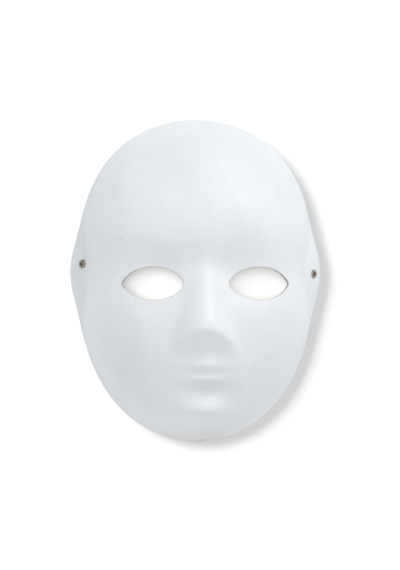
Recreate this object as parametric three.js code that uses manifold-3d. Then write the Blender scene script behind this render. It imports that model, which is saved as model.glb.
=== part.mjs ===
// A blank full-face mask of pressed paper pulp, lying on its rim with the face up.
//
// Millimetres. +X is the wearer's left (the viewer's right), +Y points to the crown and +Z out of the
// face. The rim's cut edge lies in the plane z = 0, and the origin is at its middle.
//
// The shell is one relief z = height(x, y) over an egg-shaped rim, with a wall of even thickness. Its two
// strap holes hold brass eyelets, each closed over a washer on the inside.
import * as THREE from 'three';
import { mergeVertices } from 'three/addons/utils/BufferGeometryUtils.js';
import Module from 'manifold-3d';

const wasm = await Module();
wasm.setup();

// ---- Driving dimensions -------------------------------------------------------------------------

// Rim outline, seen from the front
const MASK_LENGTH = 240; // chin to crown
const FACE_WIDTH = 176; // across the eyes, without the strap tabs
const SKULL_FLARE = 17.5; // how much each side of the oval opens out towards the crown
const JAW_FLARE = 7; // and towards the chin
const FLARE_POWER = 1.5; // how late that starts, going away from the eyes
const TAB_REACH = 5.8; // how far a strap tab stands out of the outline
const TAB_HEIGHT = 26; // half of the tab's length along the rim
const TAB_Y = 6; // the tabs' middle

// Wall and depth
const WALL = 2;
const DOME_DEPTH = 62; // rim plane to the flat of the face
const DOME_FULLNESS = 2.8; // how late the dome starts to fall away
const FLANK_FULLNESS = 0.52; // 0.5 meets the rim plane squarely
const TAB_INSET = 14; // how far in from the rim the flank rises beside a tab
const TAB_SLOPE = 1; // rise over run of a tab
const TAB_RISE = 17; // no tab stands higher than this over the rim plane
const TAB_BLEND = 8; // softness of the valley between tab and flank

// Eye openings
// The eyes are cut by hand and differ a little in place and length.
const EYES = [
  { sign: -1, x: -36.8, length: 43.5 },
  { sign: 1, x: 41.2, length: 46 },
];
const EYE_Y = -2.3;
const EYE_OPENING = 23.5;
const EYE_INNER_POINT = 1.2; // 1 is round, more is pointed
const EYE_OUTER_POINT = 1.45;

// Nose
const BRIDGE_Y = -1; // where the ridge leaves the brow
const BRIDGE_HEIGHT = 4; // ridge above the face there
const BRIDGE_HALF_WIDTH = 21.5; // of the nose's foot there
const NOSE_TIP_Y = -35;
const NOSE_HEIGHT = 20; // tip above the face, before its edges are rounded
const NOSE_HALF_WIDTH = 21; // at the foot of the wings
const NOSE_BULGE = 1.2; // 1 gives flat sides, more gives rounded wings
const RIDGE_RADIUS = 14; // rounding along the ridge
const NOSE_FOOT_Y = -51; // where the underside runs into the lip
const NOSE_SOFTNESS = 5;

// Soft swells and hollows: middle, reach and height of each
const SOCKET = { x: 37, y: 5, reachX: 34, reachY: 19, height: -8 };
const BROW_DIP = { x: 0, y: 13, reachX: 15, reachY: 12, height: -3 };
const BROW = { x: 30, y: 42, reachX: 34, reachY: 20, height: 1.5 };
const CHEEK = { x: 44, y: -36, reachX: 24, reachY: 22, height: 3 };
const MUZZLE = { x: 0, y: -66, reachX: 25, reachY: 17, height: 5 };
const UPPER_LIP = { x: 0, y: -60.5, reachX: 14, reachY: 4, height: 2.2 };
const MOUTH_LINE = { x: 0, y: -66.3, reachX: 15, reachY: 2.8, height: -2.2 };
const LOWER_LIP = { x: 0, y: -71, reachX: 11, reachY: 3.8, height: 2.4 };
const LIP_HOLLOW = { x: 0, y: -79, reachX: 17, reachY: 6, height: -5.5 };
const CHIN = { x: 0, y: -96, reachX: 21, reachY: 9, height: 14 };
const SWELLS = [SOCKET, BROW_DIP, BROW, CHEEK, MUZZLE, UPPER_LIP, MOUTH_LINE, LOWER_LIP, LIP_HOLLOW, CHIN];

// Strap holes and their eyelets: the two holes are punched by hand, one a little higher
const STRAP_HOLES = [
  { side: 'left', sign: -1, y: 12.1, fromEdge: 8.4 },
  { side: 'right', sign: 1, y: 4.9, fromEdge: 5.6 },
];
const EYELET_BORE = 3;
const EYELET_WALL = 0.45;
const EYELET_FLANGE = 6.4; // diameter of the rolled rim
const EYELET_ROLL = 0.9; // its height
const CLINCH_WIDTH = 5; // diameter of the rolled-over end inside
const WASHER_WIDTH = 7.6;
const WASHER_THICKNESS = 0.6;

// Clearances
const SEAT_GAP = 0.3; // between an eyelet or washer and the wall
const BARREL_GAP = 0.3; // around the barrel

// Fineness of the facets
const SHELL_CELLS = 44; // across the shell's grid
const RIM_GATHER = 5; // how strongly the grid's rings gather towards the rim
const GRID_MIDDLE_Y = -30; // the rings are closest around the nose and mouth
const EYE_SEGMENTS = 40;
const EYELET_SEGMENTS = 20;
const ROLL_SEGMENTS = 5;

const CUT_DEPTH = 400; // longer than anything a cutter passes through
const SKIRT = 12; // waste below the rim plane, trimmed off

// ---- Finishes -----------------------------------------------------------------------------------

const pulp = new THREE.MeshStandardMaterial({ color: 0xe9ecee, roughness: 0.62, metalness: 0 });
const brass = new THREE.MeshStandardMaterial({ color: 0x9a7f58, roughness: 0.45, metalness: 1 });
const washerSteel = new THREE.MeshStandardMaterial({ color: 0x8f8c86, roughness: 0.5, metalness: 1 });

// ---- Small helpers ------------------------------------------------------------------------------

const bell = (value, middle, reach) => Math.exp(-(((value - middle) / reach) ** 2));

// The larger or smaller of two heights, with the corner between them rounded over `softness`.
const softMax = (a, b, softness) => (a + b + Math.hypot(a - b, softness)) / 2;
const softMin = (a, b, softness) => (a + b - Math.hypot(a - b, softness)) / 2;

// A swell or hollow, the same on both sides of the face.
function swell(shape, x, y) {
  return shape.height * bell(Math.abs(x), shape.x, shape.reachX) * bell(y, shape.y, shape.reachY);
}

function toSolid(geometry) {
  geometry.deleteAttribute('normal');
  geometry.deleteAttribute('uv');
  const merged = mergeVertices(geometry, 1e-4);
  const vertProperties = new Float32Array(merged.attributes.position.array);
  const triVerts = new Uint32Array(merged.index.array);
  return new wasm.Manifold(new wasm.Mesh({ numProp: 3, vertProperties, triVerts }));
}

function toGeometry(solid) {
  const mesh = solid.getMesh();
  const geometry = new THREE.BufferGeometry();
  geometry.setAttribute('position', new THREE.BufferAttribute(new Float32Array(mesh.vertProperties), 3));
  geometry.setIndex(new THREE.BufferAttribute(new Uint32Array(mesh.triVerts), 1));
  return geometry;
}

// ---- Rim outline --------------------------------------------------------------------------------

const HALF_LENGTH = MASK_LENGTH / 2;

// The rim is an oval whose half-width, before its ends are rounded, differs from height to height.
function sideReach(y) {
  const flare = y > 0 ? SKULL_FLARE : JAW_FLARE;
  const away = Math.abs(y) / HALF_LENGTH;
  return FACE_WIDTH / 2 + flare * away ** FLARE_POWER + TAB_REACH * bell(y, TAB_Y, TAB_HEIGHT);
}

const rimHalfWidth = (y) => sideReach(y) * Math.sqrt(Math.max(1 - (y / HALF_LENGTH) ** 2, 0));

// A point of the rim: `turn` goes once round it, from 0 at the right-hand side.
function rimPoint(turn) {
  const y = HALF_LENGTH * Math.sin(turn);
  return new THREE.Vector2(Math.sign(Math.cos(turn)) * rimHalfWidth(y), y);
}

// ---- Relief of the outside ----------------------------------------------------------------------

// The plain dome: full over the face, and square to the rim plane where it reaches the rim. Beside a tab it
// comes down early and goes on below the rim plane, which leaves the tab standing out.
function domeHeight(x, y) {
  const reach = sideReach(y) - TAB_INSET * bell(y, TAB_Y, TAB_HEIGHT);
  const fall = 1 - Math.hypot(x / reach, y / HALF_LENGTH) ** DOME_FULLNESS;
  return DOME_DEPTH * Math.sign(fall) * Math.abs(fall) ** FLANK_FULLNESS;
}

// The nose is a wedge with rounded sides over a sloping underside, both running out into the face.
function noseHeight(x, y) {
  const down = (BRIDGE_Y - y) / (BRIDGE_Y - NOSE_TIP_Y);
  const ridge = THREE.MathUtils.lerp(BRIDGE_HEIGHT, NOSE_HEIGHT, down);
  const halfWidth = THREE.MathUtils.lerp(BRIDGE_HALF_WIDTH, NOSE_HALF_WIDTH, down);
  const foot = Math.hypot(halfWidth, RIDGE_RADIUS) - RIDGE_RADIUS;
  const across = (Math.hypot(x, RIDGE_RADIUS) - RIDGE_RADIUS) / foot;
  const sides = ridge - NOSE_HEIGHT * across ** NOSE_BULGE;
  const underside = NOSE_HEIGHT * (y - NOSE_FOOT_Y) / (NOSE_TIP_Y - NOSE_FOOT_Y);
  return softMax(softMin(sides, underside, NOSE_SOFTNESS), 0, NOSE_SOFTNESS);
}

// A tab rises straight in from the rim until it meets the flank.
function tabRise(x, y) {
  const reach = sideReach(y);
  const inFromRim = reach * (1 - Math.hypot(x / reach, y / HALF_LENGTH));
  return Math.min(TAB_SLOPE * inFromRim, TAB_RISE);
}

function height(x, y) {
  const dome = domeHeight(x, y);
  const relief = SWELLS.reduce((sum, shape) => sum + swell(shape, x, y), noseHeight(x, y));
  const face = dome + relief * (dome / DOME_DEPTH);
  const tab = tabRise(x, y);
  return softMax(face, tab, Math.min(TAB_BLEND, Math.max(tab, 0)));
}

// The way the outside faces at a point, from its slope over a short step.
function outward(x, y) {
  const step = 0.05;
  const alongX = (height(x + step, y) - height(x - step, y)) / (2 * step);
  const alongY = (height(x, y + step) - height(x, y - step)) / (2 * step);
  return new THREE.Vector3(-alongX, -alongY, 1).normalize();
}

// ---- Shell --------------------------------------------------------------------------------------

// Place in plan of a point of a square grid from -1 to 1: the grid's square rings become rings of the rim's
// shape, closer together towards the rim, where the flank is steep.
function planPoint(across, along) {
  const ring = Math.max(Math.abs(across), Math.abs(along));
  const middle = new THREE.Vector2(0, GRID_MIDDLE_Y);
  if (ring === 0) return middle;
  const sideways = Math.abs(across) >= Math.abs(along);
  const quarter = sideways ? along / across : -across / along;
  const facing = sideways ? (across > 0 ? 0 : Math.PI) : Math.PI / 2 * Math.sign(along);
  const edge = rimPoint(facing + quarter * Math.PI / 4);
  const out = (RIM_GATHER * ring - ring ** RIM_GATHER) / (RIM_GATHER - 1);
  return middle.lerp(edge, out);
}

// A block whose top is the relief, and whose sides go straight down from the rim.
function domeGeometry() {
  const geometry = new THREE.BoxGeometry(2, 2, 2, SHELL_CELLS, SHELL_CELLS, 1);
  const position = geometry.attributes.position;
  for (let i = 0; i < position.count; i += 1) {
    const plan = planPoint(position.getX(i), position.getY(i));
    const top = position.getZ(i) > 0;
    position.setXYZ(i, plan.x, plan.y, top ? height(plan.x, plan.y) : -SKIRT);
  }
  geometry.deleteAttribute('normal');
  geometry.deleteAttribute('uv');
  return turnDiagonals(mergeVertices(geometry, 1e-4));
}

// Each square of the grid is split along its shorter diagonal, so that the facets follow the creases.
function turnDiagonals(geometry) {
  const corner = [0, 1, 2, 3].map(() => new THREE.Vector3());
  const index = geometry.index.array;
  for (let i = 0; i < index.length; i += 6) {
    const square = [index[i], index[i + 1], index[i + 4], index[i + 2]];
    square.forEach((vertex, k) => corner[k].fromBufferAttribute(geometry.attributes.position, vertex));
    const turned = corner[0].distanceTo(corner[2]) < corner[1].distanceTo(corner[3]);
    const [a, b, c, d] = square;
    index.set(turned ? [a, b, c, a, c, d] : [a, b, d, b, c, d], i);
  }
  return geometry;
}

// Each vertex moved straight in through the wall. The waste skirt only moves sideways.
function moveIn(geometry, inset) {
  geometry.computeVertexNormals();
  const { position, normal } = geometry.attributes;
  const facing = new THREE.Vector3();
  for (let i = 0; i < position.count; i += 1) {
    facing.fromBufferAttribute(normal, i);
    const skirt = position.getZ(i) <= -SKIRT;
    if (skirt) facing.set(position.getX(i), position.getY(i) - GRID_MIDDLE_Y, 0).normalize();
    position.setX(i, position.getX(i) - inset * facing.x);
    position.setY(i, position.getY(i) - inset * facing.y);
    position.setZ(i, position.getZ(i) - (skirt ? inset : inset * facing.z));
  }
  return geometry;
}

// One eye opening, pointed at its outer corner and rounder at its inner one.
function eyeCutter({ sign, x, length }) {
  const points = Array.from({ length: EYE_SEGMENTS }, (_, i) => {
    const turn = 2 * Math.PI * i / EYE_SEGMENTS;
    const outer = (1 + Math.cos(turn)) / 2;
    const point = THREE.MathUtils.lerp(EYE_INNER_POINT, EYE_OUTER_POINT, outer);
    const rise = Math.sign(Math.sin(turn)) * Math.abs(Math.sin(turn)) ** point;
    return new THREE.Vector2(sign * length / 2 * Math.cos(turn), EYE_OPENING / 2 * rise);
  });
  const outline = new THREE.Shape(points);
  const cutter = new THREE.ExtrudeGeometry(outline, { depth: CUT_DEPTH, bevelEnabled: false });
  return cutter.translate(x, EYE_Y, -CUT_DEPTH / 2);
}

// Where a strap hole goes through the outside, and the turn that brings +Z round to face out of it.
function strapHolePlace({ sign, y, fromEdge }) {
  const x = sign * (rimHalfWidth(y) - fromEdge);
  const turn = new THREE.Quaternion().setFromUnitVectors(new THREE.Vector3(0, 0, 1), outward(x, y));
  return { position: new THREE.Vector3(x, y, height(x, y)), turn };
}

function strapHoleCutter(hole) {
  const { position, turn } = strapHolePlace(hole);
  const radius = EYELET_BORE / 2 + EYELET_WALL + BARREL_GAP;
  const reach = 4 * WALL;
  const cutter = new THREE.CylinderGeometry(radius, radius, 2 * reach, EYELET_SEGMENTS);
  cutter.rotateX(Math.PI / 2);
  return cutter.applyQuaternion(turn).translate(position.x, position.y, position.z);
}

function shellGeometry() {
  const waste = new THREE.BoxGeometry(CUT_DEPTH, CUT_DEPTH, CUT_DEPTH).translate(0, 0, -CUT_DEPTH / 2);
  const cutters = [waste, ...EYES.map(eyeCutter), ...STRAP_HOLES.map(strapHoleCutter)];
  const wall = toSolid(domeGeometry()).subtract(toSolid(moveIn(domeGeometry(), WALL)));
  return toGeometry(cutters.reduce((solid, cutter) => solid.subtract(toSolid(cutter)), wall));
}

// ---- Eyelets and washers ------------------------------------------------------------------------

// Distances along an eyelet, measured out from the wall's outside
const ROLL_SEAT = SEAT_GAP;
const WASHER_TOP = -WALL - SEAT_GAP;
const WASHER_BOTTOM = WASHER_TOP - WASHER_THICKNESS;
const CLINCH_SEAT = WASHER_BOTTOM - SEAT_GAP;

// A half-round roll from the barrel out to `width`, on the side of `seat` that `way` points to.
function rollProfile(width, seat, rise, way) {
  const inside = EYELET_BORE / 2;
  const middle = (inside + width / 2) / 2;
  const reach = (width / 2 - inside) / 2;
  return Array.from({ length: ROLL_SEGMENTS + 1 }, (_, i) => {
    const turn = Math.PI * i / ROLL_SEGMENTS;
    return new THREE.Vector2(middle - reach * Math.cos(turn), seat + way * rise * Math.sin(turn));
  });
}

// The section runs out over the rolled rim, back in under it, down the barrel and round the clinched end.
function eyeletGeometry() {
  const barrel = EYELET_BORE / 2 + EYELET_WALL;
  const rim = rollProfile(EYELET_FLANGE, ROLL_SEAT, EYELET_ROLL, 1);
  const clinch = rollProfile(CLINCH_WIDTH, CLINCH_SEAT, EYELET_ROLL, -1).reverse();
  const section = [
    ...rim,
    new THREE.Vector2(barrel, ROLL_SEAT),
    new THREE.Vector2(barrel, CLINCH_SEAT),
    ...clinch,
    rim[0],
  ];
  return new THREE.LatheGeometry(section.reverse(), EYELET_SEGMENTS).rotateX(Math.PI / 2);
}

function washerGeometry() {
  const inside = EYELET_BORE / 2 + EYELET_WALL + BARREL_GAP;
  const section = [
    new THREE.Vector2(inside, WASHER_BOTTOM),
    new THREE.Vector2(WASHER_WIDTH / 2, WASHER_BOTTOM),
    new THREE.Vector2(WASHER_WIDTH / 2, WASHER_TOP),
    new THREE.Vector2(inside, WASHER_TOP),
    new THREE.Vector2(inside, WASHER_BOTTOM),
  ];
  return new THREE.LatheGeometry(section, EYELET_SEGMENTS).rotateX(Math.PI / 2);
}

// ---- Assembly -----------------------------------------------------------------------------------

function part(name, geometry, material) {
  const mesh = new THREE.Mesh(geometry, material);
  mesh.name = name;
  return mesh;
}

function strapFitting(hole) {
  const { position, turn } = strapHolePlace(hole);
  const fitting = new THREE.Group();
  fitting.position.copy(position);
  fitting.quaternion.copy(turn);
  fitting.add(part(`${hole.side}_eyelet`, eyeletGeometry(), brass));
  fitting.add(part(`${hole.side}_eyelet_washer`, washerGeometry(), washerSteel));
  return fitting;
}

const mask = new THREE.Group();
mask.add(part('mask_shell', shellGeometry(), pulp));
STRAP_HOLES.forEach((hole) => mask.add(strapFitting(hole)));

export default mask;
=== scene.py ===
"""A blank full-face mask of coated paper pulp, lying on its rim with the face up."""

import logging
import math
from dataclasses import dataclass, field
from enum import Enum
from typing import Callable, Sequence

import bmesh
import bpy
from bmesh.types import BMEdge, BMesh, BMFace, BMVert
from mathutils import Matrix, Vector, noise


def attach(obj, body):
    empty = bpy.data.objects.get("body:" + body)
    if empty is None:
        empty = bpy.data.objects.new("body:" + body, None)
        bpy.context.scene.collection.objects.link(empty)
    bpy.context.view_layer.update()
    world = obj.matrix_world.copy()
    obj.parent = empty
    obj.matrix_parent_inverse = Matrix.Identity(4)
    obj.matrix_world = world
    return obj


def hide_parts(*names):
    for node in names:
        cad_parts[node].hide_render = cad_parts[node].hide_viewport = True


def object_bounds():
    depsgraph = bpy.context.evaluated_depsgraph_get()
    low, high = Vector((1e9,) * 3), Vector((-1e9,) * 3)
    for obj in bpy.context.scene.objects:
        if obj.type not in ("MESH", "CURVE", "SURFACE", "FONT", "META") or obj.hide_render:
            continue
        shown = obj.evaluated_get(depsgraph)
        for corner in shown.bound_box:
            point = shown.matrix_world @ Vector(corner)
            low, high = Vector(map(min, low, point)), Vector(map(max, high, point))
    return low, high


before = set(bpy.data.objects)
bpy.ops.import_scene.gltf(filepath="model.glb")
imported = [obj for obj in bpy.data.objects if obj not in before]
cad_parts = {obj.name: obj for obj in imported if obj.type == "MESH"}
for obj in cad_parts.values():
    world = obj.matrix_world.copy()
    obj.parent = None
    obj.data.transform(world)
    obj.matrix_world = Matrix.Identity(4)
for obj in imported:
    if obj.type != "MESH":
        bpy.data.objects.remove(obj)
CAD_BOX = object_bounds()

MM = 0.001
ON_RIM_PLANE = 0.01  # millimetres; a point lower than this lies in the rim's plane
LOG = logging.getLogger("mask")


class Side(Enum):
    """The two sides of the mask, as the viewer sees them, with the sign of their X."""

    LEFT = -1
    RIGHT = 1

    @property
    def word(self) -> str:
        """The side's name in piece names."""
        return self.name.lower()


class Layer(Enum):
    """The shell's finishes, in the order of its material slots."""

    COAT = 0
    INSIDE = 1
    CUT_EDGE = 2


# ---- Shape of the face --------------------------------------------------------------------------


def bell(value: float, middle: float, reach: float) -> float:
    """Returns a smooth hump of height 1 at `middle` that dies away over `reach`."""
    return math.exp(-(((value - middle) / reach) ** 2))


def soft_max(a: float, b: float, softness: float) -> float:
    """Returns the larger of two heights, with the corner between them rounded."""
    return (a + b + math.hypot(a - b, softness)) / 2


def soft_min(a: float, b: float, softness: float) -> float:
    """Returns the smaller of two heights, with the corner between them rounded."""
    return (a + b - math.hypot(a - b, softness)) / 2


@dataclass(frozen=True)
class Swell:
    """A soft swell or hollow, the same on both sides of the face, in millimetres."""

    x: float
    y: float
    reach_x: float
    reach_y: float
    height: float

    def at(self, x: float, y: float) -> float:
        """Returns the swell's height at a point."""
        return self.height * bell(abs(x), self.x, self.reach_x) * bell(y, self.y, self.reach_y)


@dataclass(frozen=True)
class Relief:
    """The outside of the mask as a height over its rim plane, in millimetres.

    Attributes:
        half_length: Half the mask's length.
        face_width: Width of the oval at its middle, before it flares.
        skull_flare: How much wider each side gets towards the crown.
        jaw_flare: How much wider each side gets towards the chin.
        flare_power: How late both flares start.
        tab_reach: How far a strap tab stands out of the oval.
        tab_height: Reach of a tab along the rim, each way.
        tab_y: Height of the tabs' middles on the mask.
        tab_inset: How far in the dome comes down beside a tab.
        tab_slope: How steeply a tab rises from the rim.
        tab_rise: How high it rises at most.
        tab_blend: Rounding where it meets the dome.
        dome_depth: Height of the plain dome.
        dome_fullness: How flat the dome is on top.
        flank_fullness: How steep its flanks are at the rim; 0.5 is upright.
        bridge_y: Where the ridge of the nose leaves the brow.
        bridge_height: Height of the ridge there.
        nose_tip_y: Where the tip is.
        nose_height: Height of the tip, before its edges are rounded.
        nose_half_width: Half the nose's width at the tip.
        bridge_half_width: Half its width at the bridge.
        nose_bulge: 1 gives flat sides, and more gives rounded ones.
        nose_foot_y: Where the underside of the nose meets the lip.
        nose_softness: Rounding of its edges.
        ridge_radius: Rounding along its ridge.
        swells: The softer features.
    """

    half_length: float
    face_width: float = 176
    skull_flare: float = 17.5
    jaw_flare: float = 7
    flare_power: float = 1.5
    tab_reach: float = 5.8
    tab_height: float = 26
    tab_y: float = 6
    tab_inset: float = 14
    tab_slope: float = 1
    tab_rise: float = 17
    tab_blend: float = 8
    dome_depth: float = 62
    dome_fullness: float = 2.8
    flank_fullness: float = 0.52
    bridge_y: float = -1
    bridge_height: float = 4
    nose_tip_y: float = -35
    nose_height: float = 20
    nose_half_width: float = 21
    bridge_half_width: float = 21.5
    nose_bulge: float = 1.2
    nose_foot_y: float = -51
    nose_softness: float = 5
    ridge_radius: float = 14
    swells: tuple[Swell, ...] = (
        Swell(37, 5, 34, 19, -8),  # eye sockets
        Swell(0, 13, 15, 12, -3),  # dip between the brows
        Swell(30, 42, 34, 20, 1.5),  # brows
        Swell(44, -36, 24, 22, 3),  # cheeks
        Swell(0, -66, 25, 17, 5),  # swell behind the lips
        Swell(0, -60.5, 14, 4, 2.2),  # upper lip
        Swell(0, -66.3, 15, 2.8, -2.2),  # line of the mouth
        Swell(0, -71, 11, 3.8, 2.4),  # lower lip
        Swell(0, -79, 17, 6, -5.5),  # hollow under the lip
        Swell(0, -96, 21, 9, 14),  # chin
    )

    def side_reach(self, y: float) -> float:
        """Returns the oval's half-width at a height, before its ends are rounded."""
        flare = self.skull_flare if y > 0 else self.jaw_flare
        away = abs(y) / self.half_length
        tab = self.tab_reach * bell(y, self.tab_y, self.tab_height)
        return self.face_width / 2 + flare * away**self.flare_power + tab

    def rim_half_width(self, y: float) -> float:
        """Returns the rim's half-width at a height."""
        return self.side_reach(y) * math.sqrt(max(1 - (y / self.half_length) ** 2, 0))

    def rim_point(self, turn: float) -> Vector:
        """Returns a point of the rim; `turn` goes once round it from the right-hand side."""
        y = self.half_length * math.sin(turn)
        return Vector((math.copysign(self.rim_half_width(y), math.cos(turn)), y))

    def dome(self, x: float, y: float) -> float:
        """Returns the height of the plain dome, which comes down early beside a tab."""
        reach = self.side_reach(y) - self.tab_inset * bell(y, self.tab_y, self.tab_height)
        fall = 1 - math.hypot(x / reach, y / self.half_length) ** self.dome_fullness
        return self.dome_depth * math.copysign(abs(fall) ** self.flank_fullness, fall)

    def nose(self, x: float, y: float) -> float:
        """Returns the height of the nose over the face: rounded sides over a sloping underside."""
        down = (self.bridge_y - y) / (self.bridge_y - self.nose_tip_y)
        ridge = self.bridge_height + (self.nose_height - self.bridge_height) * down
        half = self.bridge_half_width + (self.nose_half_width - self.bridge_half_width) * down
        radius = self.ridge_radius
        across = (math.hypot(x, radius) - radius) / (math.hypot(half, radius) - radius)
        sides = ridge - self.nose_height * across**self.nose_bulge
        under = self.nose_height * (y - self.nose_foot_y) / (self.nose_tip_y - self.nose_foot_y)
        return soft_max(soft_min(sides, under, self.nose_softness), 0, self.nose_softness)

    def tab(self, x: float, y: float) -> float:
        """Returns the height of a strap tab, which rises straight in from the rim."""
        reach = self.side_reach(y)
        in_from_rim = reach * (1 - math.hypot(x / reach, y / self.half_length))
        return min(self.tab_slope * in_from_rim, self.tab_rise)

    def height(self, x: float, y: float) -> float:
        """Returns the height of the outside at a point."""
        dome = self.dome(x, y)
        details = self.nose(x, y) + sum(swell.at(x, y) for swell in self.swells)
        tab = self.tab(x, y)
        face = dome + details * dome / self.dome_depth
        return soft_max(face, tab, min(self.tab_blend, max(tab, 0)))

    def outward(self, x: float, y: float, step: float = 0.05) -> Vector:
        """Returns the way the outside faces at a point, from its slope over a short step."""
        along_x = (self.height(x + step, y) - self.height(x - step, y)) / (2 * step)
        along_y = (self.height(x, y + step) - self.height(x, y - step)) / (2 * step)
        return Vector((-along_x, -along_y, 1)).normalized()

    def point(self, x: float, y: float) -> Vector:
        """Returns the point of the outside over a place in plan."""
        return Vector((x, y, self.height(x, y)))


# ---- Mesh helpers -------------------------------------------------------------------------------


def concentric_turn(across: float, along: float) -> float:
    """Returns the angle of a point of a square ring, spread evenly over the ring's four sides."""
    if abs(across) >= abs(along):
        start = 0.0 if across > 0 else math.pi
        return start + along / across * math.pi / 4
    return math.copysign(math.pi / 2, along) - across / along * math.pi / 4


def soften(bm: BMesh, edges: Sequence[BMEdge], width: float, segments: int) -> list[BMFace]:
    """Rounds some edges and returns the new faces.

    Args:
        bm: The mesh.
        edges: The edges.
        width: How far in the rounding starts, in millimetres.
        segments: Faces across it.

    Returns:
        The faces of the rounding.
    """
    made = bmesh.ops.bevel(bm, geom=edges, offset=width, offset_type="OFFSET", segments=segments,
                           profile=0.5, affect="EDGES", material=-1, clamp_overlap=True)
    return made["faces"]


def finish_piece(bm: BMesh, name: str, materials: Sequence[bpy.types.Material]) -> bpy.types.Object:
    """Makes a smooth-shaded object at the origin from a mesh in metres.

    Args:
        bm: The mesh, which is freed.
        name: The piece's name.
        materials: Its material slots, in order.

    Returns:
        The new object, linked to the scene.
    """
    for face in bm.faces:
        face.smooth = True
    mesh = bpy.data.meshes.new(name)
    bm.to_mesh(mesh)
    bm.free()
    for material in materials:
        mesh.materials.append(material)
    piece = bpy.data.objects.new(name, mesh)
    bpy.context.scene.collection.objects.link(piece)
    return piece


@dataclass(frozen=True)
class Opening:
    """A hole through the shell, made by spreading a block of grid cells round its outline.

    Attributes:
        middle: Its middle in plan, in millimetres.
        outline: Gives the hole's edge, from its middle, for a turn round it.
        cells: How many cells of the grid the hole takes, each way from its middle.
        spread: How much larger than the hole the block is.
    """

    middle: Vector
    outline: Callable[[float], Vector]
    cells: tuple[int, int]
    spread: float = 2.0


@dataclass
class RimGrid:
    """A square grid from -1 to 1 that is laid out over the oval inside the rim.

    Attributes:
        relief: The face.
        cells: The grid's cells each way.
        gather: How strongly the grid closes up towards the rim, where the flank is steep.
        openings: The holes.
    """

    relief: Relief
    cells: tuple[int, int]
    gather: float = 5
    openings: Sequence[Opening] = ()
    places: list[tuple[float, float]] = field(init=False, default_factory=list)

    def __post_init__(self) -> None:
        """Finds the grid point nearest to the middle of each opening."""
        self.places = [self.nearest(opening.middle) for opening in self.openings]

    def lines(self, axis: int) -> list[float]:
        """Returns the grid's lines along an axis."""
        return [-1 + 2 * i / self.cells[axis] for i in range(self.cells[axis] + 1)]

    def nearest(self, middle: Vector) -> tuple[float, float]:
        """Returns the grid point whose place in plan is nearest to `middle`."""
        points = ((u, v) for u in self.lines(0) for v in self.lines(1))
        return min(points, key=lambda point: (self.plain(*point) - middle).length_squared)

    def plain(self, u: float, v: float) -> Vector:
        """Returns the place in plan of a point of the grid, with no openings."""
        disc = Vector((u * math.sqrt(1 - v * v / 2), v * math.sqrt(1 - u * u / 2)))
        ring = min(disc.length, 1)
        if ring == 0:
            return Vector((0, 0))
        edge = self.relief.rim_point(math.atan2(disc.y, disc.x))
        return edge * (self.gather * ring - ring**self.gather) / (self.gather - 1)

    def reach(self, index: int, u: float, v: float) -> tuple[float, float, float]:
        """Returns a point's place in an opening's block, from -1 to 1, and its ring there."""
        opening, place = self.openings[index], self.places[index]
        half = [2 * cells * opening.spread / all_cells
                for cells, all_cells in zip(opening.cells, self.cells)]
        across, along = (u - place[0]) / half[0], (v - place[1]) / half[1]
        return across, along, max(abs(across), abs(along))

    def plan(self, u: float, v: float) -> Vector:
        """Returns the place in plan of a point of the grid, clear of the openings."""
        for index, opening in enumerate(self.openings):
            across, along, ring = self.reach(index, u, v)
            if 1e-6 < ring < 1:
                hole_ring = 1 / opening.spread
                edge = opening.middle + opening.outline(concentric_turn(across, along))
                place = self.places[index]
                far = self.plain(place[0] + (u - place[0]) / ring, place[1] + (v - place[1]) / ring)
                return edge.lerp(far, (ring - hole_ring) / (1 - hole_ring))
        return self.plain(u, v)

    def in_opening(self, u: float, v: float) -> bool:
        """Tells whether a cell's middle is in one of the holes."""
        return any(
            self.reach(index, u, v)[2] < 1 / opening.spread
            for index, opening in enumerate(self.openings)
        )

    def sheet(self) -> BMesh:
        """Returns the flat sheet over the oval, in millimetres, with its holes cut out."""
        bm = bmesh.new()
        bmesh.ops.create_grid(bm, x_segments=self.cells[0], y_segments=self.cells[1], size=1)
        cut = [face for face in bm.faces if self.in_opening(*face.calc_center_median().xy)]
        bmesh.ops.delete(bm, geom=cut, context="FACES")
        for vert in bm.verts:
            vert.co.xy = self.plan(vert.co.x, vert.co.y)
        return bm


# ---- Finishes -----------------------------------------------------------------------------------

Colour = tuple[float, float, float]
Socket = bpy.types.NodeSocket


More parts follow.
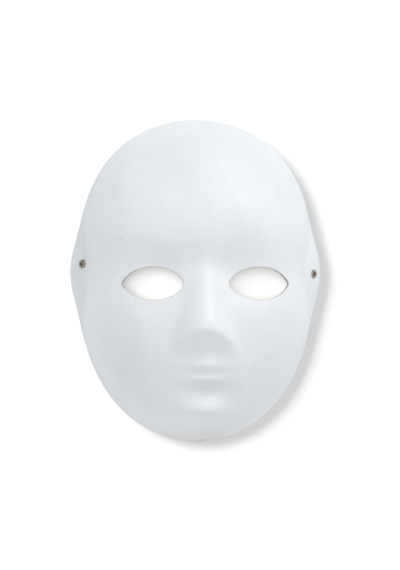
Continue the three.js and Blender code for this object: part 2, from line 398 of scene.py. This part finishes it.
class Shading:
    """A material's node tree, with short ways to add the nodes that the finishes use."""

    def __init__(self, name: str, roughness: float, metallic: float = 0) -> None:
        """Starts a material with one plain surface shader."""
        self.material = bpy.data.materials.new(name)
        self.material.use_nodes = True
        self.tree = self.material.node_tree
        self.surface = self.tree.nodes["Principled BSDF"]
        self.surface.inputs["Roughness"].default_value = roughness
        self.surface.inputs["Metallic"].default_value = metallic
        self.coordinates = self.tree.nodes.new("ShaderNodeTexCoord").outputs["Object"]

    def feed(self, target: Socket, value: Socket | float | Colour) -> None:
        """Links a socket to another, or sets it to a number or a colour."""
        if isinstance(value, bpy.types.NodeSocket):
            self.tree.links.new(value, target)
        elif isinstance(value, tuple) and len(value) == 3 and len(target.default_value) == 4:
            target.default_value = (*value, 1)
        else:
            target.default_value = value

    def noise(self, size: float, detail: float = 3, roughness: float = 0.5,
              stretch: tuple[float, float, float] = (1, 1, 1)) -> Socket:
        """Returns noise from 0 to 1.

        Args:
            size: Size of its largest features, in millimetres.
            detail: How many finer layers it has.
            roughness: How strong they are.
            stretch: How much longer the features are along each axis.

        Returns:
            The noise's value.
        """
        mapping = self.tree.nodes.new("ShaderNodeMapping")
        mapping.inputs["Scale"].default_value = [1 / (size * MM * along) for along in stretch]
        self.feed(mapping.inputs["Vector"], self.coordinates)
        texture = self.tree.nodes.new("ShaderNodeTexNoise")
        texture.inputs["Scale"].default_value = 1
        texture.inputs["Detail"].default_value = detail
        texture.inputs["Roughness"].default_value = roughness
        self.feed(texture.inputs["Vector"], mapping.outputs["Vector"])
        return texture.outputs["Fac"]

    def cells(self, size: float) -> Socket:
        """Returns the distance to the nearest of scattered points `size` millimetres apart."""
        texture = self.tree.nodes.new("ShaderNodeTexVoronoi")
        texture.inputs["Scale"].default_value = 1 / (size * MM)
        self.feed(texture.inputs["Vector"], self.coordinates)
        return texture.outputs["Distance"]

    def ribs(self, spacing: float, direction: str) -> Socket:
        """Returns even ribs along one axis, `spacing` millimetres apart."""
        texture = self.tree.nodes.new("ShaderNodeTexWave")
        texture.bands_direction = direction
        texture.inputs["Scale"].default_value = math.pi / (10 * spacing * MM)
        texture.inputs["Distortion"].default_value = 1.5
        texture.inputs["Detail"].default_value = 2
        self.feed(texture.inputs["Vector"], self.coordinates)
        return texture.outputs["Fac"]

    def spread(self, value: Socket, low: float, high: float,
               to: tuple[float, float] = (0, 1)) -> Socket:
        """Returns `value` stretched so that `low` to `high` covers the range `to`, and clamped."""
        node = self.tree.nodes.new("ShaderNodeMapRange")
        node.interpolation_type = "SMOOTHSTEP"
        self.feed(node.inputs["Value"], value)
        for socket, number in zip(node.inputs[1:5], (low, high, *to)):
            socket.default_value = number
        return node.outputs["Result"]

    def maths(self, operation: str, a: Socket | float, b: Socket | float) -> Socket:
        """Returns the result of one arithmetic operation."""
        node = self.tree.nodes.new("ShaderNodeMath")
        node.operation = operation
        self.feed(node.inputs[0], a)
        self.feed(node.inputs[1], b)
        return node.outputs["Value"]

    def mix(self, amount: Socket | float, a: Socket | Colour, b: Socket | Colour) -> Socket:
        """Returns colour `a` going over to colour `b`."""
        node = self.tree.nodes.new("ShaderNodeMix")
        node.data_type = "RGBA"
        self.feed(node.inputs["Factor"], amount)
        self.feed(node.inputs[6], a)
        self.feed(node.inputs[7], b)
        return node.outputs[2]

    def axis(self, letter: str) -> Socket:
        """Returns one of the position's coordinates, in metres."""
        node = self.tree.nodes.new("ShaderNodeSeparateXYZ")
        self.feed(node.inputs["Vector"], self.coordinates)
        return node.outputs[letter]

    def near(self, place: Vector, size: Vector) -> Socket:
        """Returns the distance from a place, where `size` away is 1; both are in millimetres."""
        mapping = self.tree.nodes.new("ShaderNodeMapping")
        mapping.vector_type = "TEXTURE"
        mapping.inputs["Location"].default_value = place * MM
        mapping.inputs["Scale"].default_value = size * MM
        self.feed(mapping.inputs["Vector"], self.coordinates)
        node = self.tree.nodes.new("ShaderNodeVectorMath")
        node.operation = "LENGTH"
        self.feed(node.inputs[0], mapping.outputs["Vector"])
        return node.outputs["Value"]

    def raise_by(self, *layers: tuple[Socket, float]) -> None:
        """Bumps the surface by layers, each a value from 0 to 1 and its depth in millimetres."""
        previous = None
        for value, depth in layers:
            bump = self.tree.nodes.new("ShaderNodeBump")
            bump.inputs["Distance"].default_value = depth * MM
            self.feed(bump.inputs["Height"], value)
            if previous:
                self.feed(bump.inputs["Normal"], previous)
            previous = bump.outputs["Normal"]
        self.feed(self.surface.inputs["Normal"], previous)

    def paint(self, colour: Socket, roughness: Socket | None = None) -> bpy.types.Material:
        """Sets the colour, and the roughness where it varies, and returns the material."""
        self.feed(self.surface.inputs["Base Color"], colour)
        if roughness:
            self.feed(self.surface.inputs["Roughness"], roughness)
        return self.material


@dataclass(frozen=True)
class Mark:
    """A small stain or scratch on the coat.

    Attributes:
        place: Its middle, in millimetres.
        size: How far it reaches each way, in millimetres.
        strength: How much of the coat's colour it takes away.
        breakup: Size of the patches that it is broken up into, in millimetres.
    """

    place: tuple[float, float, float]
    size: tuple[float, float, float]
    strength: float
    breakup: float


@dataclass(frozen=True)
class WhiteCoat:
    """The smooth white coat: satin, a little cloudy, and worn off parts of the rim.

    Attributes:
        white: Its colour.
        cloud: Its colour where it is cloudy.
        warm: Its colour at the tip of the chin: partly the coat's yellowing, partly painted shade
            where the chin turns under.
        grime: Colour of the specks and marks.
        board: Colour of the board under it.
        roughness: Range of its roughness.
        gloss: Strength of its shine.
        bare_band: Greatest height of the worn band over the rim, in millimetres.
        worn_corner: Where the wear starts and where it is full, in metres down towards the chin
            and a little to the left.
        yellowing_and_shade: Where the yellowing and painted shade start and are full, as Y in
            metres.
        marks: The stains and scratches.
    """

    white: Colour = (0.83, 0.85, 0.87)
    cloud: Colour = (0.775, 0.795, 0.815)
    warm: Colour = (0.70, 0.66, 0.605)
    grime: Colour = (0.36, 0.30, 0.24)
    board: Colour = (0.33, 0.25, 0.18)
    roughness: tuple[float, float] = (0.42, 0.52)
    gloss: float = 1
    bare_band: float = 2
    worn_corner: tuple[float, float] = (-0.05, -0.085)
    yellowing_and_shade: tuple[float, float] = (-0.102, -0.121)
    marks: tuple[Mark, ...] = (
        Mark((1, -117.6, 8), (7, 2, 6), 0.65, 4),  # smudge at the chin
        Mark((-67, 92, 0), (8, 8, 2), 0.7, 3),  # rubbed rim, upper left
        Mark((-83, 65, 0), (5, 7, 2), 0.7, 3),  # rubbed rim, left
        Mark((4.5, -8.5, 66), (0.6, 0.6, 30), 0.45, 0.8),  # speck on the nose
        Mark((-59, 29.5, 45), (2.6, 0.5, 30), 0.3, 1.2),  # scratches on the temple
        Mark((-57, 31, 45), (1.8, 0.45, 30), 0.25, 1.2),
        Mark((-46, 22.5, 50), (0.5, 1.1, 30), 0.3, 1.2),  # nick over the left eye
    )

    def material(self) -> bpy.types.Material:
        """Returns the coat's material."""
        shade = Shading("white_coat", self.roughness[0])
        shade.surface.inputs["Specular IOR Level"].default_value = self.gloss
        colour = shade.mix(shade.spread(shade.noise(70, 4), 0.35, 0.65), self.white, self.cloud)
        colour = shade.mix(shade.spread(shade.noise(9, 3), 0.5, 0.8, (0, 0.25)), colour, self.cloud)
        # Painted shade: the coat turns darker and warmer towards the bottom of the chin, where it
        # turns under; partly yellowing of the coat.
        low = shade.spread(shade.axis("Y"), *self.yellowing_and_shade)
        colour = shade.mix(shade.maths("MULTIPLY", low, 0.6), colour, self.warm)
        specks = shade.spread(shade.noise(1.3, 1), 0.74, 0.8, (0, 0.22))
        colour = shade.mix(specks, colour, self.grime)
        for mark in self.marks:
            colour = shade.mix(self.stain(shade, mark), colour, self.grime)
        colour = shade.mix(self.bare(shade), colour, self.board)
        shade.raise_by(
            (shade.noise(16, 2), 0.35),
            (shade.noise(3.5, 3), 0.09),
            (shade.noise(0.8, 2, 0.6), 0.035),
            (shade.spread(shade.cells(5), 0.0, 0.09), 0.06),
        )
        return shade.paint(colour, shade.spread(shade.noise(6, 4), 0.3, 0.7, self.roughness))

    def stain(self, shade: Shading, mark: Mark) -> Socket:
        """Returns how much a mark covers the coat, broken up at its edge."""
        away = shade.near(Vector(mark.place), Vector(mark.size))
        breakup = shade.spread(shade.noise(mark.breakup, 3), 0.3, 0.7, (-0.5, 0.5))
        ragged = shade.maths("ADD", away, breakup)
        return shade.spread(ragged, 0.9, 0.3, (0, mark.strength))

    def bare(self, shade: Shading) -> Socket:
        """Returns how much board shows where the coat has worn off the rim."""
        ragged = shade.spread(shade.noise(14, 5, 0.65), 0.42, 0.62, (0.1, 1))
        band = shade.maths("MULTIPLY", ragged, self.bare_band * MM)
        share = shade.maths("DIVIDE", shade.axis("Z"), band)
        corner = shade.maths("ADD", shade.maths("MULTIPLY", shade.axis("X"), 0.3), shade.axis("Y"))
        worn = shade.spread(corner, *self.worn_corner, (0.05, 1))
        return shade.maths("MULTIPLY", shade.spread(share, 1.0, 0.55, (0, 0.9)), worn)


@dataclass(frozen=True)
class BarePulp:
    """The uncoated inside: warm grey, rough, with fibres and the print of the forming screen."""

    light: Colour = (0.60, 0.575, 0.53)
    dark: Colour = (0.46, 0.43, 0.385)
    screen: float = 1.6

    def material(self) -> bpy.types.Material:
        """Returns the bare pulp's material."""
        shade = Shading("bare_pulp", 0.9)
        colour = shade.mix(shade.spread(shade.noise(25, 5, 0.6), 0.35, 0.65), self.light, self.dark)
        fibres = shade.noise(1.1, 3, 0.7, (3, 1, 1))
        colour = shade.mix(shade.spread(fibres, 0.55, 0.75, (0, 0.5)), colour, self.dark)
        across, along = shade.ribs(self.screen, "X"), shade.ribs(self.screen, "Y")
        print_of_screen = shade.maths("MULTIPLY", across, along)
        shade.raise_by(
            (shade.noise(7, 4, 0.6), 0.5),
            (print_of_screen, 0.12),
            (fibres, 0.12),
        )
        return shade.paint(colour)


@dataclass(frozen=True)
class CutEdge:
    """The cut edge of the board: layered fibres."""

    fibre: Colour = (0.62, 0.61, 0.60)
    shadow: Colour = (0.46, 0.445, 0.43)

    def material(self) -> bpy.types.Material:
        """Returns the cut edge's material."""
        shade = Shading("cut_edge", 0.88)
        layers = shade.noise(1.2, 4, 0.65, (2.5, 2.5, 0.35))
        shade.raise_by((layers, 0.25), (shade.noise(0.5, 2), 0.08))
        return shade.paint(shade.mix(shade.spread(layers, 0.35, 0.65), self.fibre, self.shadow))


@dataclass(frozen=True)
class AgedMetal:
    """A thin stamped metal, dulled and stained by handling."""

    name: str
    bright: Colour
    tarnish: Colour
    roughness: tuple[float, float] = (0.32, 0.62)

    def material(self) -> bpy.types.Material:
        """Returns the metal's material."""
        shade = Shading(self.name, self.roughness[0], metallic=1)
        age = shade.spread(shade.noise(1.4, 4, 0.6), 0.38, 0.66)
        scratches = shade.noise(0.4, 2, 0.6, (5, 1, 1))
        shade.raise_by((shade.noise(0.9, 3), 0.03), (scratches, 0.012))
        colour = shade.mix(age, self.bright, self.tarnish)
        return shade.paint(colour, shade.spread(age, 0, 1, self.roughness))


AGED_BRASS = AgedMetal("aged_brass", (0.48, 0.435, 0.375), (0.24, 0.205, 0.18))
DULL_STEEL = AgedMetal("dull_steel", (0.46, 0.45, 0.44), (0.25, 0.235, 0.22))


# ---- Shell --------------------------------------------------------------------------------------


@dataclass(frozen=True)
class StrapHole:
    """A strap hole, punched square to the outside.

    Attributes:
        side: Its side of the mask.
        y: Its height on the mask, in millimetres.
        from_edge: Its distance in from the rim, in millimetres.
        radius: Its radius, in millimetres.
    """

    side: Side
    y: float
    from_edge: float
    radius: float = 2.25

    def place(self, relief: Relief) -> Vector:
        """Returns the point where its axis goes through the outside."""
        out = relief.rim_half_width(self.y) - self.from_edge
        return relief.point(self.side.value * out, self.y)

    def facing(self, relief: Relief) -> Vector:
        """Returns the way its axis points, out of the face."""
        return relief.outward(*self.place(relief).xy)

    def opening(self, relief: Relief) -> Opening:
        """Returns the hole through the shell, which is round when seen along its axis."""
        out = self.facing(relief)
        across = Vector((0, 1, 0)).cross(out).normalized()
        along = out.cross(across)

        def outline(turn: float) -> Vector:
            """Returns the hole's edge at a turn."""
            return (self.radius * (across * math.cos(turn) + along * math.sin(turn))).xy

        return Opening(self.place(relief).xy, outline, (2, 2), 2.5)


@dataclass(frozen=True)
class EyeHole:
    """An almond eye opening, pointed at its outer corner and rounder at its inner one.

    Attributes:
        side: Its side of the mask.
        x: Its middle, in millimetres.
        length: Its length, in millimetres.
        y: Its height on the mask, in millimetres.
        gap: Its greatest height from lid to lid, in millimetres.
        inner_point: Sharpness of its inner corner; 1 is round.
        outer_point: Sharpness of its outer corner.
    """

    side: Side
    x: float
    length: float
    y: float = -2.3
    gap: float = 23.5
    inner_point: float = 1.2
    outer_point: float = 1.45

    def opening(self, cells: tuple[int, int] = (14, 7)) -> Opening:
        """Returns the hole through a sheet; `cells` says how many of its cells it takes."""
        middle = Vector((self.x, self.y))
        return Opening(middle, self.outline, cells, 11 / 7)

    def outline(self, turn: float) -> Vector:
        """Returns the almond's edge at a turn."""
        outer = (1 + self.side.value * math.cos(turn)) / 2
        point = self.inner_point + (self.outer_point - self.inner_point) * outer
        rise = math.copysign(abs(math.sin(turn)) ** point, math.sin(turn))
        return Vector((self.length / 2 * math.cos(turn), self.gap / 2 * rise))


@dataclass
class MaskShell:
    """The moulded shell: one sheet of pulp with two eye openings, two strap holes and a cut rim.

    Attributes:
        relief: The face.
        eye_holes: The eye openings.
        strap_holes: The strap holes.
        wall: Thickness of the pulp, in millimetres.
        cells: Fineness of its mesh.
        edge_round: Rounding of the cut edges of the eye openings.
        unevenness: Depth and size of each layer of the surface's soft unevenness.
        even_below: Height over the rim from which the unevenness fades out.
        steady_height: Height over the rim from which the sheet's own normals are steady.
    """

    relief: Relief
    eye_holes: Sequence[EyeHole]
    strap_holes: Sequence[StrapHole]
    wall: float = 2
    cells: tuple[int, int] = (150, 192)
    edge_round: float = 0.35
    unevenness: tuple[tuple[float, float], ...] = ((0.35, 38), (0.14, 13))
    even_below: float = 25
    steady_height: float = 0.6

    def build(self) -> bpy.types.Object:
        """Returns the finished shell, in metres."""
        eyes = [cut.opening() for cut in self.eye_holes]
        straps = [hole.opening(self.relief) for hole in self.strap_holes]
        bm = RimGrid(self.relief, self.cells, openings=eyes + straps).sheet()
        self.raise_relief(bm)
        self.thicken(bm)
        self.round_edges(bm)
        bmesh.ops.scale(bm, vec=(MM, MM, MM), verts=bm.verts)
        return finish_piece(bm, "mask_shell_skin", self.finishes())

    def raise_relief(self, bm: BMesh) -> None:
        """Lifts the flat sheet to the relief, and adds the surface's soft unevenness."""
        for vert in bm.verts:
            vert.co.z = self.relief.height(*vert.co.xy)
        bm.normal_update()
        for vert in bm.verts:
            drift = sum(depth * (noise.noise(vert.co / size) - 1)
                        for depth, size in self.unevenness)
            vert.co += vert.normal * drift * min(vert.co.z / self.even_below, 1)

    def thicken(self, bm: BMesh) -> None:
        """Gives the sheet its wall, with the inside stopped at the rim plane."""
        bm.normal_update()
        inwards = bm.verts.layers.float_vector.new("inwards")
        for vert in bm.verts:
            vert[inwards] = -self.steady_normal(vert)
        outside = list(bm.faces)
        made = bmesh.ops.extrude_face_region(bm, geom=outside, use_keep_orig=True)["geom"]
        inside = {item for item in made if isinstance(item, BMFace)}
        for vert in (item for item in made if isinstance(item, BMVert)):
            vert.co += vert[inwards] * self.wall
            vert.co.z = max(vert.co.z, 0)
        bm.verts.layers.float_vector.remove(inwards)
        walls = set(bm.faces) - inside - set(outside)
        for face in bm.faces:
            on_rim_plane = all(vert.co.z < ON_RIM_PLANE for vert in face.verts)
            if face in walls or on_rim_plane:
                face.material_index = Layer.CUT_EDGE.value
            elif face in inside:
                face.material_index = Layer.INSIDE.value
        bmesh.ops.recalc_face_normals(bm, faces=bm.faces)
        LOG.info("shell: %d faces outside, %d in all", len(outside), len(bm.faces))

    def steady_normal(self, vert: BMVert) -> Vector:
        """Returns a point's normal, or close to the rim the normal a little way up from it."""
        while vert.co.z < self.steady_height:
            vert = max((edge.other_vert(vert) for edge in vert.link_edges), key=lambda v: v.co.z)
        return vert.normal

    def round_edges(self, bm: BMesh) -> None:
        """Rounds the edges of the openings, inside too, and leaves the rim's edges sharp."""
        cut = Layer.CUT_EDGE.value
        edges = [edge for edge in bm.edges
                 if sum(face.material_index == cut for face in edge.link_faces) == 1]
        rim = {edge for edge in edges if all(vert.co.z < ON_RIM_PLANE for vert in edge.verts)}
        for edge in rim:
            edge.smooth = False
        openings = [edge for edge in edges if edge not in rim]
        for face in soften(bm, openings, self.edge_round, 2):
            face.material_index = cut

    def finishes(self) -> list[bpy.types.Material]:
        """Returns the shell's materials, in the order of Layer."""
        return [WhiteCoat().material(), BarePulp().material(), CutEdge().material()]


# ---- Strap fittings -----------------------------------------------------------------------------


@dataclass
class StrapFitting:
    """An eyelet through a strap hole, and the washer inside that its end is rolled over.

    Attributes:
        hole: The strap hole.
        relief: The face.
        wall: Thickness of the shell. This and the sizes below are in millimetres.
        bore: Diameter of the way through.
        sheet: Thickness of the eyelet's metal.
        flange: Diameter of the rolled rim outside.
        roll: Height of that rim.
        clinch: Diameter of the rolled-over end inside.
        clinch_roll: Height of that end.
        washer_width: Diameter of the washer.
        washer_hole: Diameter of its hole.
        washer_thickness: Its thickness.
        washer_round: Rounding of its corners.
        seat: Gap under the rim, and on each side of the washer.
        eyelet_dents: Depth of the eyelet's dents.
        washer_dents: Depth of the washer's.
        dent_size: Size of both.
        facets: Faces round the axis.
    """

    hole: StrapHole
    relief: Relief
    wall: float = 2
    bore: float = 3
    sheet: float = 0.45
    flange: float = 6.4
    roll: float = 0.95
    clinch: float = 5
    clinch_roll: float = 0.6
    washer_width: float = 7.6
    washer_hole: float = 4.2
    washer_thickness: float = 0.6
    washer_round: float = 0.14
    seat: float = 0.06
    eyelet_dents: float = 0.045
    washer_dents: float = 0.02
    dent_size: float = 1.1
    facets: int = 72

    def build_eyelet(self) -> bpy.types.Object:
        """Returns the eyelet: a barrel with a rolled rim outside and a rolled-over end inside."""
        inner, outer = self.bore / 2, self.bore / 2 + self.sheet
        under = -self.wall - 2 * self.seat - self.washer_thickness
        rim = self.half_roll(inner, self.flange / 2, self.seat, self.roll, 14)
        end = self.half_roll(inner, self.clinch / 2, under, -self.clinch_roll, 10)
        section = rim + [(outer, self.seat), (outer, under)] + end[::-1]
        bm = self.spun(section)
        self.wear(bm, self.eyelet_dents)
        return self.set_in_place(bm, "eyelet", AGED_BRASS)

    def build_washer(self) -> bpy.types.Object:
        """Returns the washer, a flat ring with softened edges."""
        top = -self.wall - self.seat
        bottom = top - self.washer_thickness
        inner, outer = self.washer_hole / 2, self.washer_width / 2
        bm = self.spun([(inner, top), (outer, top), (outer, bottom), (inner, bottom)])
        corners = [edge for edge in bm.edges if edge.calc_face_angle(0) > 1]
        soften(bm, corners, self.washer_round, 3)
        self.wear(bm, self.washer_dents)
        return self.set_in_place(bm, "eyelet_washer", DULL_STEEL)

    def half_roll(self, start: float, stop: float, level: float, rise: float,
                  steps: int) -> list[tuple[float, float]]:
        """Returns a half-round section that arches from one radius to another.

        Args:
            start: Radius where it starts.
            stop: Radius where it ends.
            level: Height of both ends along the axis.
            rise: Height of the arch over them.
            steps: Edges along it.

        Returns:
            Its points, as radius and height.
        """
        middle, reach = (start + stop) / 2, (stop - start) / 2
        turns = [math.pi * (1 - i / steps) for i in range(steps + 1)]
        return [(middle + reach * math.cos(turn), level + rise * math.sin(turn)) for turn in turns]

    def spun(self, section: Sequence[tuple[float, float]]) -> BMesh:
        """Returns the ring that a closed section of radii and heights makes round the axis."""
        bm = bmesh.new()
        verts = [bm.verts.new((radius, 0, height)) for radius, height in section]
        edges = [bm.edges.new(pair) for pair in zip(verts, verts[1:] + verts[:1])]
        bmesh.ops.spin(bm, geom=verts + edges, cent=(0, 0, 0), axis=(0, 0, 1), angle=math.tau,
                       steps=self.facets, use_merge=True)
        bmesh.ops.recalc_face_normals(bm, faces=bm.faces)
        return bm

    def wear(self, bm: BMesh, depth: float) -> None:
        """Dents a ring slightly and unevenly, and each side's ring in its own way."""
        own = Vector((self.hole.y, 0, 0))
        for vert in bm.verts:
            vert.co += noise.noise_vector((vert.co + own) / self.dent_size) * depth

    def set_in_place(self, bm: BMesh, name: str, metal: AgedMetal) -> bpy.types.Object:
        """Turns a ring to its hole, dresses it and returns it in place of its CAD node."""
        turn = Vector((0, 0, 1)).rotation_difference(self.hole.facing(self.relief))
        bmesh.ops.rotate(bm, verts=bm.verts, cent=(0, 0, 0), matrix=turn.to_matrix())
        bmesh.ops.translate(bm, verts=bm.verts, vec=self.hole.place(self.relief))
        bmesh.ops.scale(bm, verts=bm.verts, vec=(MM, MM, MM))
        return finish_piece(bm, f"{self.hole.side.word}_{name}_metal", [metal.material()])


# ---- Studio -------------------------------------------------------------------------------------


@dataclass(frozen=True)
class SoftBox:
    """A square soft light: where it hangs and its width, in metres, and its power in watts."""

    name: str
    place: tuple[float, float, float]
    width: float
    power: float

    def hang(self) -> bpy.types.Object:
        """Returns the light, turned to the middle of the mask."""
        light = bpy.data.lights.new(self.name, "AREA")
        light.shape = "SQUARE"
        light.size = self.width
        light.energy = self.power
        lamp = bpy.data.objects.new(self.name, light)
        lamp.location = self.place
        lamp.rotation_euler = (-Vector(self.place)).to_track_quat("-Z", "Y").to_euler()
        bpy.context.scene.collection.objects.link(lamp)
        return lamp


@dataclass
class Studio:
    """A white table, soft light from above and the camera over the mask.

    The table has a light of its own, from the upper left, so that the shadow stays narrow. That
    light is stopped by a flat card just under the mask and not by the mask, and no other light on
    the table is. The card is in no picture and isn't part of the mask.

    Attributes:
        relief: The face, for the card's outline.
        eye_holes: The eye openings, for the card's.
        table_width: Width of the table, in metres.
        table_drop: How far the table lies under the rim, in metres.
        table_glow: Light that the table gives off by itself.
        sky: Light from above.
        low_sky: Light from below the horizon, which reaches the mask in place of the table's.
        horizon: Half the height of the band where one goes over to the other.
        sky_colour: Colour of both.
        card_height: Height of the card over the table, in millimetres.
        card_shift: How far the card's eye openings lie off the mask's, in millimetres.
        tilt: How far the camera leans to the mask's right-hand side, in degrees.
        distance: Camera to the middle of the view, in metres.
        view_height: Height of the view in the plane of the rim, in metres.
        middle: Middle of the view.
    """

    relief: Relief
    eye_holes: Sequence[EyeHole]
    table_width: float = 3
    table_drop: float = 0.0002
    table_glow: float = 0.36
    sky: float = 0.785
    low_sky: float = 1
    horizon: float = 0.3
    sky_colour: Colour = (0.975, 0.99, 1)
    card_height: float = 10
    card_shift: tuple[float, float] = (-1.6, 3.5)
    tilt: float = 6
    distance: float = 1.2
    view_height: float = 0.4264
    middle: tuple[float, float, float] = (0.003, -0.0034, 0)
    key: SoftBox = SoftBox("key_light", (0.68, 1.13, 1.1), 1.2, 9.7)
    table_lamp: SoftBox = SoftBox("table_light", (-1.28, 0.8, 1.2), 1.4, 105)

    def build(self) -> None:
        """Sets up the table, the lights, the card and the camera."""
        table = self.set_table()
        card = self.set_card()
        self.set_sky()
        key, table_lamp = self.key.hang(), self.table_lamp.hang()
        self.share(key, "key_lights_not", "receiver_collection", table, "EXCLUDE")
        self.share(table_lamp, "table_light_lights", "receiver_collection", table, "INCLUDE")
        self.share(table_lamp, "table_light_stopped_by", "blocker_collection", card, "INCLUDE")
        self.share(key, "key_not_stopped_by", "blocker_collection", card, "EXCLUDE")
        self.set_camera()

    def share(self, lamp: bpy.types.Object, name: str, side: str, thing: bpy.types.Object,
              state: str) -> None:
        """Says that a light does or doesn't reach a thing, or is or isn't stopped by it.

        Args:
            lamp: The light.
            name: A name for the list.
            side: Which of the light's lists it is.
            thing: The thing in the list.
            state: INCLUDE for this thing alone, or EXCLUDE for all but this thing.
        """
        group = bpy.data.collections.new(name)
        group.objects.link(thing)
        setattr(lamp.light_linking, side, group)
        group.collection_objects[0].light_linking.link_state = state

    def set_table(self) -> bpy.types.Object:
        """Returns the white table top."""
        bm = bmesh.new()
        half = self.table_width / 2
        bmesh.ops.create_grid(bm, x_segments=1, y_segments=1, size=half)
        bmesh.ops.translate(bm, verts=bm.verts, vec=(0, 0, -self.table_drop))
        shade = Shading("white_table", 0.9)
        surface = shade.surface.inputs
        surface["Emission Color"].default_value = (1, 1, 1, 1)
        surface["Emission Strength"].default_value = self.table_glow
        grain = shade.mix(shade.noise(30, 2), (0.35, 0.35, 0.35), (0.36, 0.36, 0.36))
        table = finish_piece(bm, "table", [shade.paint(grain)])
        table.visible_diffuse = False
        table.visible_glossy = False
        return table

    def set_card(self) -> bpy.types.Object:
        """Returns the card that shades the table, with the mask's outline and eye openings."""
        eyes = [hole.opening((6, 3)) for hole in self.eye_holes]
        for eye in eyes:
            eye.middle.xy += Vector(self.card_shift)
        bm = RimGrid(self.relief, (60, 76), openings=eyes).sheet()
        bmesh.ops.translate(bm, verts=bm.verts, vec=(0, 0, self.card_height))
        bmesh.ops.scale(bm, verts=bm.verts, vec=(MM, MM, MM))
        card = finish_piece(bm, "shadow_card", [])
        for rays in ("camera", "diffuse", "glossy", "transmission"):
            setattr(card, f"visible_{rays}", False)
        return card

    def set_sky(self) -> None:
        """Fills the room with even light."""
        sky = bpy.data.worlds.new("studio_sky")
        sky.use_nodes = True
        nodes, links = sky.node_tree.nodes, sky.node_tree.links
        direction = nodes.new("ShaderNodeSeparateXYZ")
        links.new(nodes.new("ShaderNodeTexCoord").outputs["Generated"], direction.inputs["Vector"])
        level = nodes.new("ShaderNodeMapRange")
        links.new(direction.outputs["Z"], level.inputs["Value"])
        levels = (-self.horizon, self.horizon, self.low_sky, self.sky)
        for socket, number in zip(level.inputs[1:5], levels):
            socket.default_value = number
        nodes["Background"].inputs["Color"].default_value = (*self.sky_colour, 1)
        links.new(level.outputs["Result"], nodes["Background"].inputs["Strength"])
        scene = bpy.context.scene
        scene.world = sky
        scene.view_settings.view_transform = "Standard"

    def set_camera(self) -> None:
        """Hangs the camera over the mask, leaning a little to one side."""
        lens = bpy.data.cameras.new("camera")
        lens.sensor_width = 36
        lens.lens = lens.sensor_width * self.distance / self.view_height
        lens.clip_start = 0.05
        camera = bpy.data.objects.new("camera", lens)
        lean = math.radians(-self.tilt)
        camera.rotation_euler = (0, lean, 0)
        away = Vector((math.sin(lean), 0, math.cos(lean))) * self.distance
        camera.location = Vector(self.middle) + away
        bpy.context.scene.collection.objects.link(camera)
        bpy.context.scene.camera = camera


# ---- The whole mask -----------------------------------------------------------------------------


def place_piece(piece: bpy.types.Object, node: str) -> None:
    """Puts a piece in place of a CAD node.

    Args:
        piece: The piece.
        node: The CAD node that it stands for.
    """
    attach(piece, "root")
    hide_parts(node)
    LOG.info("%s stands for %s: %d faces", piece.name, node, len(piece.data.polygons))


def main() -> None:
    """Builds the shell and its strap fittings, and sets the studio round them."""
    logging.basicConfig(level=logging.INFO, format="%(name)s: %(message)s")
    relief = Relief(half_length=(CAD_BOX[1].y - CAD_BOX[0].y) / 2 / MM)
    eye_holes = [EyeHole(Side.LEFT, -36.8, 43.5), EyeHole(Side.RIGHT, 41.2, 46)]
    strap_holes = [StrapHole(Side.LEFT, 12.1, 8.4), StrapHole(Side.RIGHT, 4.9, 5.6)]
    place_piece(MaskShell(relief, eye_holes, strap_holes).build(), "mask_shell")
    for hole in strap_holes:
        fitting = StrapFitting(hole, relief)
        place_piece(fitting.build_eyelet(), f"{hole.side.word}_eyelet")
        place_piece(fitting.build_washer(), f"{hole.side.word}_eyelet_washer")
    Studio(relief, eye_holes).build()


if __name__ == "__main__":
    main()
